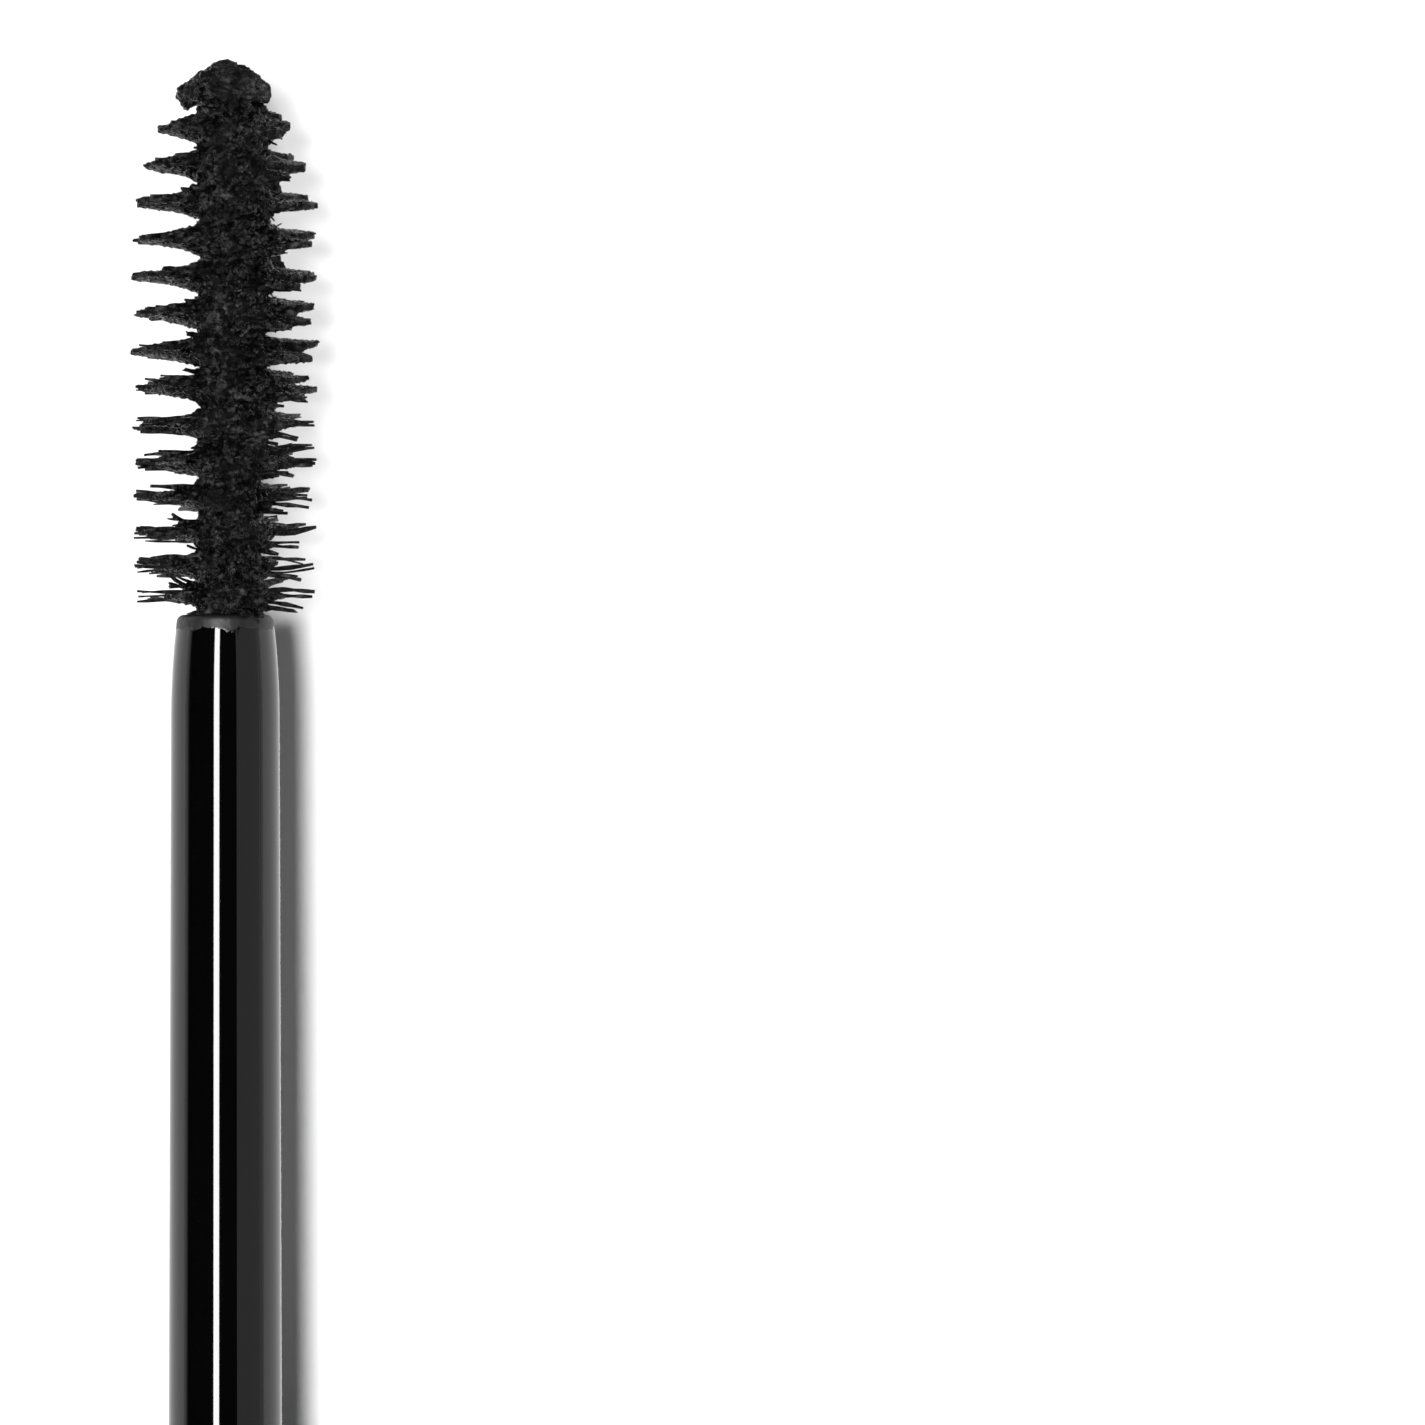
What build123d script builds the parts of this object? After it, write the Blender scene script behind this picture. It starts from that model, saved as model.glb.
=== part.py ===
"""Mascara tube, drawn open: the applicator has been pulled straight out of its bottle, and both lie on one
level surface with their common axis along +X, so pushing the applicator along +X closes the tube.

Millimetres. The axis lies TUBE_R above the surface, z = 0. x = 0 is the middle of the opened tube's length.
A station is a place along the axis, and every turned piece is drawn as stations against radii.
"""

import os
from math import cos, pi, sin

from build123d import *

# Driving dimensions
TUBE_R = 8.5  # outside of the cap and of the bottle
CAP_LENGTH = 48.0
SOCKET_DEPTH = 12.0  # from the cap's rim to the liner that meets the bottle's mouth
ROD_REACH = 38.5  # from the cap's rim to the end of the rod
BRUSH_LENGTH = 25.0  # from the end of the rod to the tip of the brush
REST_GAP = 4.0  # between the brush and the bottle's mouth, as drawn open
BOTTLE_LENGTH = 80.0
NECK_LENGTH = 12.4  # the part of the bottle that the cap covers

WALL = 1.1  # of the cap shell and the bottle's sleeve
FIT = 0.05  # between pieces that are pressed or glued together
RUNNING = 0.06  # between pieces that slide or turn on each other

THREAD_PITCH = 2.6
THREAD_HEIGHT = 0.65
THREAD_ROOT = 1.3  # width of a ridge at its foot
THREAD_CREST = 0.7  # and at its top
THREAD_CLEARANCE = 0.2
THREAD_SINK = 0.2  # how deep a ridge's foot goes into its wall
NECK_R = 5.5

ROD_ROOT_R = 2.6
ROD_SHAFT_R = 2.45  # where the nose begins
NOSE_MIDDLE_R = 2.37
ROD_TIP_R = 2.15
ROD_NOSE = 4.5  # length of the rounded nose
ROD_GRIP = 12.0  # length held inside the inner cap

ROW_PITCH = 1.615  # the brush shows one row of bristles for each half turn of its wire
ROWS = 14
FIRST_ROW = 0.9  # from the end of the rod
BRISTLES_PER_ROW = 12
BRISTLE_R = 0.05
BRUSH_R = 4.25
BRUSH_TAPER = 8.0  # length over which the brush narrows to its tip
TAPER_POWER = 0.7  # how bluntly it rounds down there
WIRE_R = 0.27
STRAND_R = 0.33  # from the brush's axis to the centre of each strand
WIRE_GRIP = 8.0  # length of wire held inside the rod

COAT_R = 1.9  # of the mascara that fills the brush's core
COAT_BORE_R = 0.66  # around the twisted wire
CLOT_R = 2.25  # of the blob of mascara on the tip
CLOT_LENGTH = 2.25

LINER_T = 0.9
WIPER_LENGTH = 11.0
WIPER_FLANGE_T = 0.8
WIPER_WALL = 0.7
WIPER_TUBE_LENGTH = 7.5  # before it narrows towards the lip
WIPER_LIP_T = 0.9
WIPER_BEAD = 0.12
COLLAR_T = 1.6
PLUG_T = 2.2
PLUG_RIM_T = 1.0  # the part of the plug outside the sleeve
LABEL_R = 5.6
LABEL_RECESS = 0.3
LABEL_T = 0.12
FILL_BORE_R = 4.75  # the channel that the brush leaves in the paste
FILL_FLOOR = 0.8
FILL_SLOPE = 3.0

# Stations
CAP_END = -(CAP_LENGTH + ROD_REACH + BRUSH_LENGTH + REST_GAP + BOTTLE_LENGTH) / 2
CAP_RIM = CAP_END + CAP_LENGTH
LINER_FACE = CAP_RIM - SOCKET_DEPTH
SEAT = LINER_FACE - LINER_T
ROD_ROOT = SEAT - ROD_GRIP
ROD_TIP = CAP_RIM + ROD_REACH
BRUSH_TIP = ROD_TIP + BRUSH_LENGTH
MOUTH = BRUSH_TIP + REST_GAP
SHOULDER = MOUTH + NECK_LENGTH
BASE = MOUTH + BOTTLE_LENGTH
FILL_START = MOUTH + 24.0
TRAVEL = MOUTH - LINER_FACE - FIT  # how far the applicator moves along +X to close the tube

TUBE_AXIS = Axis((0, 0, TUBE_R), (1, 0, 0))
PROFILE = Plane(origin=(0, 0, TUBE_R), x_dir=(1, 0, 0), z_dir=(0, -1, 0))  # station, radius


def across(station, turn=0.0):
    """The plane across the axis at a station, its x direction turned from +Y by turn radians."""
    return Plane(origin=(station, 0, TUBE_R), x_dir=(0, cos(turn), sin(turn)), z_dir=(1, 0, 0))


def turned(*outline):
    """Adds the ring or disc whose half section is outline, as (station, radius) points."""
    with BuildSketch(PROFILE) as half_section:
        with BuildLine():
            Polyline(*outline, close=True)
        make_face()
    revolve(half_section.sketch, axis=TUBE_AXIS)


def thread(start, turns, foot_r, outward):
    """Adds a right-handed ridge that winds along +X from start, outward or inward from radius foot_r."""
    rise = THREAD_HEIGHT if outward else -THREAD_HEIGHT
    sink = -THREAD_SINK if outward else THREAD_SINK
    with BuildLine():
        length = THREAD_PITCH * turns
        path = Helix(THREAD_PITCH, length, foot_r, center=(start, 0, TUBE_R), direction=(1, 0, 0))
    with BuildSketch(Plane(origin=path @ 0, x_dir=(0, 0, 1), z_dir=path % 0)) as ridge:
        with BuildLine():
            Polyline(
                (sink, -THREAD_ROOT / 2),
                (0, -THREAD_ROOT / 2),
                (rise, -THREAD_CREST / 2),
                (rise, THREAD_CREST / 2),
                (0, THREAD_ROOT / 2),
                (sink, THREAD_ROOT / 2),
                close=True,
            )
        make_face()
    sweep(ridge.sketch, path=path, is_frenet=True)


# ---------------------------------------------------------------- applicator: cap, rod and brush

CAP_BORE_R = TUBE_R - WALL
CAP_END_WALL = 1.4
CAP_END_ROUND = 0.9
RIM_CHAMFER = 0.2

with BuildPart() as cap_shell:
    with BuildSketch(across(CAP_END)):
        Circle(TUBE_R)
    extrude(amount=CAP_LENGTH)
    with BuildSketch(across(CAP_END + CAP_END_WALL)):
        Circle(CAP_BORE_R)
    extrude(amount=CAP_LENGTH - CAP_END_WALL, mode=Mode.SUBTRACT)
    closed_end = cap_shell.edges().filter_by(GeomType.CIRCLE).sort_by(Axis.X)[0]
    fillet(closed_end, radius=CAP_END_ROUND)
    rim = cap_shell.faces().filter_by(Plane.YZ).sort_by(Axis.X)[-1]
    chamfer(rim.edges(), length=RIM_CHAMFER)

INNER_CAP_R = CAP_BORE_R - FIT
INNER_CAP_INSET = 0.5  # its skirt stops short of the cap's rim
WEB_T = 1.6
SKIRT_LEAD_IN = 0.3  # the mouth of its skirt is flared, this much in radius
SKIRT_LEAD_LENGTH = 0.4
HOLDER_R = 4.2  # the tube that grips the root of the rod
HOLDER_END_WALL = 1.0
GRIP_BEAD = 0.2  # the rod's root has a bead that snaps into a groove
GRIP_BEAD_START = 1.4  # from the rod's root
GRIP_BEAD_W = 1.2
RIBS = 6
RIB_T = 1.0
RIB_LENGTH = 9.0
RIB_OVERLAP = 0.3  # into the holder's wall, and past the rim of the web before it is trimmed
SOCKET_R = NECK_R + THREAD_HEIGHT + THREAD_CLEARANCE
THREAD_START = 3.0  # from the mouth to the middle of the neck's thread where it begins
NECK_TURNS = 1.5
CAP_TURNS = 1.25
ROOT_BORE_R = ROD_ROOT_R + RUNNING
HOLDER_END = ROD_ROOT - HOLDER_END_WALL
BEAD_START = ROD_ROOT + GRIP_BEAD_START
BEAD_END = BEAD_START + GRIP_BEAD_W
BEAD_MIDDLE = (BEAD_START + BEAD_END) / 2
SKIRT_END = CAP_RIM - INNER_CAP_INSET

with BuildPart() as inner_cap:
    turned(
        (SEAT - WEB_T, ROOT_BORE_R),
        (SEAT - WEB_T, INNER_CAP_R),
        (SKIRT_END, INNER_CAP_R),
        (SKIRT_END, SOCKET_R + SKIRT_LEAD_IN),
        (SKIRT_END - SKIRT_LEAD_LENGTH, SOCKET_R),
        (SEAT, SOCKET_R),
        (SEAT, ROOT_BORE_R),
    )
    turned(
        (HOLDER_END, 0),
        (HOLDER_END, HOLDER_R),
        (SEAT - WEB_T, HOLDER_R),
        (SEAT - WEB_T, ROOT_BORE_R),
        (BEAD_END, ROOT_BORE_R),
        (BEAD_MIDDLE, ROOT_BORE_R + GRIP_BEAD),
        (BEAD_START, ROOT_BORE_R),
        (ROD_ROOT - FIT, ROOT_BORE_R),
        (ROD_ROOT - FIT, 0),
    )
    with BuildSketch(across(SEAT - WEB_T - RIB_LENGTH)):
        with PolarLocations((HOLDER_R + INNER_CAP_R) / 2, RIBS):
            Rectangle(INNER_CAP_R - HOLDER_R + 2 * RIB_OVERLAP, RIB_T)
        Circle(INNER_CAP_R, mode=Mode.INTERSECT)
    extrude(amount=RIB_LENGTH)
    thread(MOUTH - TRAVEL + THREAD_START + THREAD_PITCH / 2, CAP_TURNS, SOCKET_R, outward=False)

LINER_PLAY = 0.15  # between the free-turning liner and the socket's wall
LINER_BORE_R = ROD_ROOT_R + 2 * RUNNING
LINER_R = SOCKET_R - LINER_PLAY

with BuildPart() as cap_liner:
    with BuildSketch(across(SEAT + FIT)):
        Circle(LINER_R)
        Circle(LINER_BORE_R, mode=Mode.SUBTRACT)
    extrude(amount=LINER_T - FIT)

TIP_ROUND = 0.35
WIRE_BORE_R = STRAND_R + WIRE_R + FIT

with BuildPart() as rod:
    with BuildSketch(PROFILE):
        with BuildLine():
            Polyline(
                (ROD_TIP, ROD_TIP_R),
                (ROD_TIP, 0),
                (ROD_ROOT, 0),
                (ROD_ROOT, ROD_ROOT_R),
                (BEAD_START, ROD_ROOT_R),
                (BEAD_MIDDLE, ROD_ROOT_R + GRIP_BEAD),
                (BEAD_END, ROD_ROOT_R),
                (SEAT, ROD_ROOT_R),
            )
            shaft = Line((SEAT, ROD_ROOT_R), (ROD_TIP - ROD_NOSE, ROD_SHAFT_R))
            ThreePointArc(shaft @ 1, (ROD_TIP - ROD_NOSE / 2, NOSE_MIDDLE_R), (ROD_TIP, ROD_TIP_R))
        make_face()
    revolve(axis=TUBE_AXIS)
    fillet(rod.edges().filter_by(GeomType.CIRCLE).group_by(Axis.X)[-1], radius=TIP_ROUND)
    with BuildSketch(across(ROD_TIP)):
        Circle(WIRE_BORE_R)
    extrude(amount=-(WIRE_GRIP + FIT), mode=Mode.SUBTRACT)

# The wire is one hairpin: its two legs are twisted together, and the fold is inside the brush's tip.
TWIST_PITCH = 2 * ROW_PITCH
WIRE_FOLD = ROD_TIP + FIRST_ROW + ROWS * ROW_PITCH
HALF_TURNS_IN_GRIP = int((WIRE_GRIP + FIRST_ROW) / ROW_PITCH)
WIRE_START = ROD_TIP + FIRST_ROW - HALF_TURNS_IN_GRIP * ROW_PITCH
WIRE_LENGTH = WIRE_FOLD - WIRE_START

with BuildPart() as strand:
    with BuildLine():
        middle_of_twist = (WIRE_START, 0, TUBE_R)
        leg = Helix(TWIST_PITCH, WIRE_LENGTH, STRAND_R, center=middle_of_twist, direction=(1, 0, 0))
    with BuildSketch(Plane(origin=leg @ 0, x_dir=(0, 0, 1), z_dir=leg % 0)):
        Circle(WIRE_R)
    sweep(path=leg, is_frenet=True)

with BuildPart() as brush_wire:
    add(strand.part)
    add(strand.part.rotate(TUBE_AXIS, 180))
    with BuildLine():
        fold = ThreePointArc(
            (WIRE_FOLD, 0, TUBE_R + STRAND_R),
            (WIRE_FOLD + STRAND_R, 0, TUBE_R),
            (WIRE_FOLD, 0, TUBE_R - STRAND_R),
        )
    with BuildSketch(Plane(origin=fold @ 0, x_dir=(0, 0, 1), z_dir=fold % 0)):
        Circle(WIRE_R)
    sweep(path=fold)
    with Locations(fold @ 0, fold @ 1):
        Sphere(WIRE_R)


def brush_reach(station):
    """Radius of the brush at a station: full along its body, rounding down to the tip."""
    from_tip = max(BRUSH_TIP - station, 0.0)
    short = max(1 - from_tip / BRUSH_TAPER, 0.0)
    return BRUSH_R * (1 - short**2) ** TAPER_POWER


def bristle_row(row):
    """One half turn of bristles, each a straight hexagonal filament pinched between the wire's legs."""
    middle = ROD_TIP + FIRST_ROW + row * ROW_PITCH
    with BuildPart() as filaments:
        for place in range(BRISTLES_PER_ROW):
            station = middle + ROW_PITCH * ((place + 0.5) / BRISTLES_PER_ROW - 0.5)
            turn = pi * (station - ROD_TIP - FIRST_ROW) / ROW_PITCH
            along = (0, cos(turn), sin(turn))
            with BuildSketch(Plane(origin=(station, 0, TUBE_R), x_dir=(1, 0, 0), z_dir=along)):
                RegularPolygon(BRISTLE_R, 6)
            extrude(amount=brush_reach(station), both=True)
    return filaments


POCKET_END = WIRE_FOLD + STRAND_R + WIRE_R + FIT  # the coat is hollow as far as the wire reaches
CLOT_START = BRUSH_TIP - CLOT_LENGTH

with BuildPart() as mascara_coat:
    with BuildSketch(PROFILE):
        with BuildLine():
            dome = CenterArc((CLOT_START, 0), CLOT_R, 0, 90)
            Polyline(
                dome @ 1,
                (CLOT_START, COAT_R),
                (ROD_TIP + FIT, COAT_R),
                (ROD_TIP + FIT, COAT_BORE_R),
                (POCKET_END, COAT_BORE_R),
                (POCKET_END, 0),
                dome @ 0,
            )
        make_face()
    revolve(axis=TUBE_AXIS)

# ---------------------------------------------------------------- bottle: vial, wiper and outer shell

NECK_BORE_R = 4.5
VIAL_R = CAP_BORE_R - FIT
VIAL_BORE_R = 6.4
VIAL_FLOOR = 1.2
LIP = MOUTH + WIPER_FLANGE_T
SHOULDER_SLOPE = 2.2
VIAL_END = BASE - PLUG_T - FIT
SHOULDER_WALL = 1.0  # along the axis, through the sloping shoulder
NECK_CHAMFER = 0.2
NECK_END = SHOULDER + COLLAR_T + FIT
SNAP_MIDDLE = MOUTH + 3.2  # the wiper's snap bead and its groove in the neck
SNAP_HALF_W = 0.5

with BuildPart() as vial:
    turned(
        (LIP, NECK_BORE_R),
        (LIP, NECK_R - NECK_CHAMFER),
        (LIP + NECK_CHAMFER, NECK_R),
        (NECK_END, NECK_R),
        (NECK_END + SHOULDER_SLOPE, VIAL_R),
        (VIAL_END, VIAL_R),
        (VIAL_END, 0),
        (VIAL_END - VIAL_FLOOR, 0),
        (VIAL_END - VIAL_FLOOR, VIAL_BORE_R),
        (NECK_END + SHOULDER_WALL + SHOULDER_SLOPE, VIAL_BORE_R),
        (NECK_END + SHOULDER_WALL, NECK_BORE_R),
        (SNAP_MIDDLE + SNAP_HALF_W, NECK_BORE_R),
        (SNAP_MIDDLE, NECK_BORE_R + WIPER_BEAD),
        (SNAP_MIDDLE - SNAP_HALF_W, NECK_BORE_R),
    )
    thread(MOUTH + THREAD_START, NECK_TURNS, NECK_R, outward=True)

# The lip clears the rod that it wipes by a running fit where the rod rests in it with the tube closed.
WIPER_LIP = MOUTH + WIPER_LENGTH
WIPER_LIP_R = ROD_ROOT_R + RUNNING
WIPER_LIP_WALL = 0.25
WIPER_FLANGE_R = NECK_R - 0.1
WIPER_ENTRY = 0.5  # length of the chamfer where the brush goes in
WIPER_ENTRY_FLARE = 0.3
FLANGE_BACK = MOUTH + WIPER_FLANGE_T - FIT
WIPER_R = NECK_BORE_R - FIT
WIPER_BORE_R = WIPER_R - WIPER_WALL
WIPER_CONE = MOUTH + WIPER_TUBE_LENGTH

with BuildPart() as wiper:
    turned(
        (MOUTH, WIPER_BORE_R + WIPER_ENTRY_FLARE),
        (MOUTH, WIPER_FLANGE_R - NECK_CHAMFER),
        (MOUTH + NECK_CHAMFER, WIPER_FLANGE_R),
        (FLANGE_BACK, WIPER_FLANGE_R),
        (FLANGE_BACK, WIPER_R),
        (SNAP_MIDDLE - SNAP_HALF_W, WIPER_R),
        (SNAP_MIDDLE, WIPER_R + WIPER_BEAD),
        (SNAP_MIDDLE + SNAP_HALF_W, WIPER_R),
        (WIPER_CONE, WIPER_R),
        (WIPER_LIP - WIPER_LIP_T, WIPER_LIP_R + WIPER_LIP_WALL),
        (WIPER_LIP, WIPER_LIP_R + WIPER_LIP_WALL),
        (WIPER_LIP, WIPER_LIP_R),
        (WIPER_LIP - WIPER_LIP_T, WIPER_LIP_R),
        (WIPER_CONE, WIPER_BORE_R),
        (MOUTH + WIPER_ENTRY, WIPER_BORE_R),
    )

COLLAR_CHAMFER = 0.15

with BuildPart() as shoulder_collar:
    with BuildSketch(across(SHOULDER)):
        Circle(TUBE_R)
        Circle(NECK_R + FIT, mode=Mode.SUBTRACT)
    extrude(amount=COLLAR_T)
    outer = shoulder_collar.edges().filter_by(GeomType.CIRCLE).sort_by(SortBy.RADIUS)[-2:]
    chamfer(outer, length=COLLAR_CHAMFER)

SLEEVE_START = SHOULDER + COLLAR_T
SLEEVE_END = BASE - PLUG_RIM_T
SLEEVE_CHAMFER = 0.12

with BuildPart() as outer_sleeve:
    with BuildSketch(across(SLEEVE_START)):
        Circle(TUBE_R)
        Circle(CAP_BORE_R, mode=Mode.SUBTRACT)
    extrude(amount=SLEEVE_END - SLEEVE_START)
    sharp = outer_sleeve.edges().filter_by(GeomType.CIRCLE).sort_by(SortBy.RADIUS)[-2:]
    chamfer(sharp, length=SLEEVE_CHAMFER)

PLUG_ROUND = 0.5
LABEL_MARGIN = 0.2

with BuildPart() as base_plug:
    with BuildSketch(across(BASE - PLUG_T)):
        Circle(CAP_BORE_R - FIT)
    extrude(amount=PLUG_T - PLUG_RIM_T)
    with BuildSketch(across(BASE - PLUG_RIM_T)):
        Circle(TUBE_R)
    extrude(amount=PLUG_RIM_T)
    fillet(base_plug.edges().filter_by(GeomType.CIRCLE).group_by(Axis.X)[-1], radius=PLUG_ROUND)
    with BuildSketch(across(BASE)):
        Circle(LABEL_R + LABEL_MARGIN)
    extrude(amount=-LABEL_RECESS, mode=Mode.SUBTRACT)

with BuildPart() as shade_label:
    with BuildSketch(across(BASE - LABEL_RECESS)):
        Circle(LABEL_R)
    extrude(amount=LABEL_T)

FILL_END = VIAL_END - VIAL_FLOOR - FIT
CHANNEL_END = FILL_END - FILL_FLOOR

with BuildPart() as mascara_fill:
    turned(
        (FILL_START, VIAL_BORE_R - FIT),
        (FILL_END, VIAL_BORE_R - FIT),
        (FILL_END, 0),
        (CHANNEL_END, 0),
        (CHANNEL_END, FILL_BORE_R),
        (FILL_START + FILL_SLOPE, FILL_BORE_R),
    )

# ---------------------------------------------------------------- files

pieces = {
    "cap_shell": cap_shell,
    "inner_cap": inner_cap,
    "cap_liner": cap_liner,
    "rod": rod,
    "brush_wire": brush_wire,
    "mascara_coat": mascara_coat,
    "vial": vial,
    "wiper": wiper,
    "shoulder_collar": shoulder_collar,
    "outer_sleeve": outer_sleeve,
    "base_plug": base_plug,
    "shade_label": shade_label,
    "mascara_fill": mascara_fill,
}
for row in range(ROWS):
    pieces[f"bristle_row_{row + 1:02d}"] = bristle_row(row)

os.makedirs("parts", exist_ok=True)
for name, piece in pieces.items():
    piece.part.label = name
    export_step(piece.part, f"parts/{name}.step")

open_length = BASE - CAP_END
print(f"drawn open {open_length:.2f} mm, closed {open_length - TRAVEL:.2f} mm, travel {TRAVEL:.2f} mm")
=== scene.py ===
"""Mascara tube drawn open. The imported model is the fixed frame: this adds a brush, a rod and all materials.

Metres, same frame as the CAD: the tube's axis runs along +X at the height of the frame's middle.
The brush is worked out in millimetres in its own frame (station, across, up) and scaled once at the end.
"""

import math
import random

import bmesh
import bpy
import numpy as np
from mathutils import Matrix, Vector


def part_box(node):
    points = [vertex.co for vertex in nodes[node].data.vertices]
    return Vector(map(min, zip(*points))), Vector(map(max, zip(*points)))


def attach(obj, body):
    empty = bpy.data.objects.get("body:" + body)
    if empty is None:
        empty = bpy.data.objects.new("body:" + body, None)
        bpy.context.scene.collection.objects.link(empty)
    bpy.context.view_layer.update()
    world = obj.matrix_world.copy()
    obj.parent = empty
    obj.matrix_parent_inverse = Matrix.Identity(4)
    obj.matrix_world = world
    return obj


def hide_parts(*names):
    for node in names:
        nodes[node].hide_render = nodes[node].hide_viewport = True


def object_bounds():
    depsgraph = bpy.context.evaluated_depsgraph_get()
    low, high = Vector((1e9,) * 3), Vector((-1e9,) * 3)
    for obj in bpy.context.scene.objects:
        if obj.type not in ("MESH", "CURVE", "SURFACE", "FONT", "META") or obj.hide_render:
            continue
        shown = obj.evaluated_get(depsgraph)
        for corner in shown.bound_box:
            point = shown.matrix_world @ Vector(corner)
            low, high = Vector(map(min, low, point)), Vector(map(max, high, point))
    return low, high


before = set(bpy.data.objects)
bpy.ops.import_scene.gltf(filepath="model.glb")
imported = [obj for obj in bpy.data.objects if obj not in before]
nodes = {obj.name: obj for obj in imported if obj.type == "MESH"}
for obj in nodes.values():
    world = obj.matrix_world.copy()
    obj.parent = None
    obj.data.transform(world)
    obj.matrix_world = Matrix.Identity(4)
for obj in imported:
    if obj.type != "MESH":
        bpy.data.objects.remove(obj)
cad_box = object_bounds()
MM = 0.001

# ------------------------------------------------------------------ places read from the frame

AXIS_Z = (cad_box[0].z + cad_box[1].z) / 2
ROD_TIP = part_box("rod")[1].x
BRUSH_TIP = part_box("mascara_coat")[1].x
ROWS = sorted(name for name in nodes if name.startswith("bristle_row_"))
ROW_PLACES = [sum(corner.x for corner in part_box(name)) / 2 for name in ROWS]
ROW_PITCH = (ROW_PLACES[-1] - ROW_PLACES[0]) / (len(ROWS) - 1)
FULL_ROW = ROWS[3]  # one that the brush's taper doesn't shorten
BRUSH_R = (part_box(FULL_ROW)[1].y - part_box(FULL_ROW)[0].y) / 2

# ------------------------------------------------------------------ camera, floor and light

FIELD = 64.2 * MM  # what the picture's width spans at the height of the tube's axis
LENS = 200.0
SENSOR = 36.0
CAMERA_X = BRUSH_TIP - 29.4 * MM
CAMERA_Y = -21.95 * MM
KEY_LEAN = 6.0  # degrees from overhead towards +Y
KEY_WIDTH = 10.0  # degrees across: how soft the shadows' edges are
KEY_STRENGTH = 2.1
PAST_BRUSH_STRENGTH = 2.3  # a second key light that the brush doesn't block, so that its shadow is faint
FILL_WIDTH = 110.0
FILL_STRENGTH = 0.45
PANEL_LENGTH = 3.0
PANEL_DISTANCE = 1.5
STRIP = (9.2, 20.4, 24.0)  # degrees from overhead towards +Y, and radiance: the rod's thin highlight
SIDE = (-82.0, -27.5, 0.55)  # the same, for the wide grey reflection on the other side
SKY = ((0.06, 0.9), (0.2, 0.004))  # share of straight up, and brightness: pale low down, dark above
FLOOR_SIZE = 12.0
FLOOR_DROP = 0.1 * MM  # keeps the floor clear of the faces that lie on it
FLOOR_GREY = 0.86


def make_camera():
    data = bpy.data.cameras.new("camera")
    data.lens = LENS
    data.sensor_width = SENSOR
    camera = bpy.data.objects.new("camera", data)
    height = FIELD * LENS / SENSOR
    camera.location = (CAMERA_X, CAMERA_Y, AXIS_Z + height)
    camera.rotation_euler = (0, 0, -math.pi / 2)  # looks straight down, with +X at the top of the picture
    data.clip_start = height / 50
    bpy.context.scene.collection.objects.link(camera)
    bpy.context.scene.camera = camera


def aim(obj, direction):
    """Turns a light so that it shines along direction."""
    obj.rotation_mode = "QUATERNION"
    obj.rotation_quaternion = Vector(direction).to_track_quat("-Z", "Y")


def make_sun(name, lean, strength, angle):
    """A distant light for surfaces and shadows only, lean degrees from overhead towards +Y."""
    data = bpy.data.lights.new(name, "SUN")
    data.energy = strength
    data.angle = math.radians(angle)
    sun = bpy.data.objects.new(name, data)
    a = math.radians(lean)
    aim(sun, (0, -math.sin(a), -math.cos(a)))
    sun.visible_glossy = False
    bpy.context.scene.collection.objects.link(sun)
    return sun


def make_panel(name, low, high, radiance):
    """A long light panel along X for reflections only, between two angles from overhead towards +Y."""
    middle, half = math.radians((low + high) / 2), math.radians((high - low) / 2)
    data = bpy.data.lights.new(name, "AREA")
    data.shape = "RECTANGLE"
    data.size = PANEL_LENGTH
    data.size_y = 2 * PANEL_DISTANCE * math.tan(half)
    data.energy = radiance * math.pi * data.size * data.size_y
    panel = bpy.data.objects.new(name, data)
    panel.location = (0, PANEL_DISTANCE * math.sin(middle), AXIS_Z + PANEL_DISTANCE * math.cos(middle))
    panel.rotation_euler = (-middle, 0, 0)
    panel.visible_diffuse = False
    panel.visible_camera = False
    bpy.context.scene.collection.objects.link(panel)


def make_softbox(name, location, size, radiance):
    """A square panel beyond an end of the tube, for reflections that only the oblique views show."""
    data = bpy.data.lights.new(name, "AREA")
    data.size = size
    data.energy = radiance * math.pi * size**2
    box = bpy.data.objects.new(name, data)
    box.location = location
    aim(box, -Vector(location))
    box.visible_diffuse = False
    box.visible_camera = False
    bpy.context.scene.collection.objects.link(box)


def make_lights(brush):
    make_sun("key", KEY_LEAN, KEY_STRENGTH, KEY_WIDTH)
    around = make_sun("around_the_brush", KEY_LEAN, PAST_BRUSH_STRENGTH, KEY_WIDTH)
    clear = bpy.data.collections.new("brush")
    for piece in brush:
        clear.objects.link(piece)
    around.light_linking.blocker_collection = clear
    for entry in clear.collection_objects:
        entry.light_linking.link_state = "EXCLUDE"
    make_sun("fill", 0.0, FILL_STRENGTH, FILL_WIDTH)
    make_panel("strip", *STRIP)
    make_panel("side", *SIDE)
    for name, end in (("cap_end_softbox", -1), ("base_end_softbox", 1)):
        make_softbox(name, (end * 1.3, 0.5, 0.75), size=0.7, radiance=0.9)
        make_softbox(name + "_far", (end * 1.1, -1.0, 0.5), size=0.6, radiance=0.5)


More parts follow.
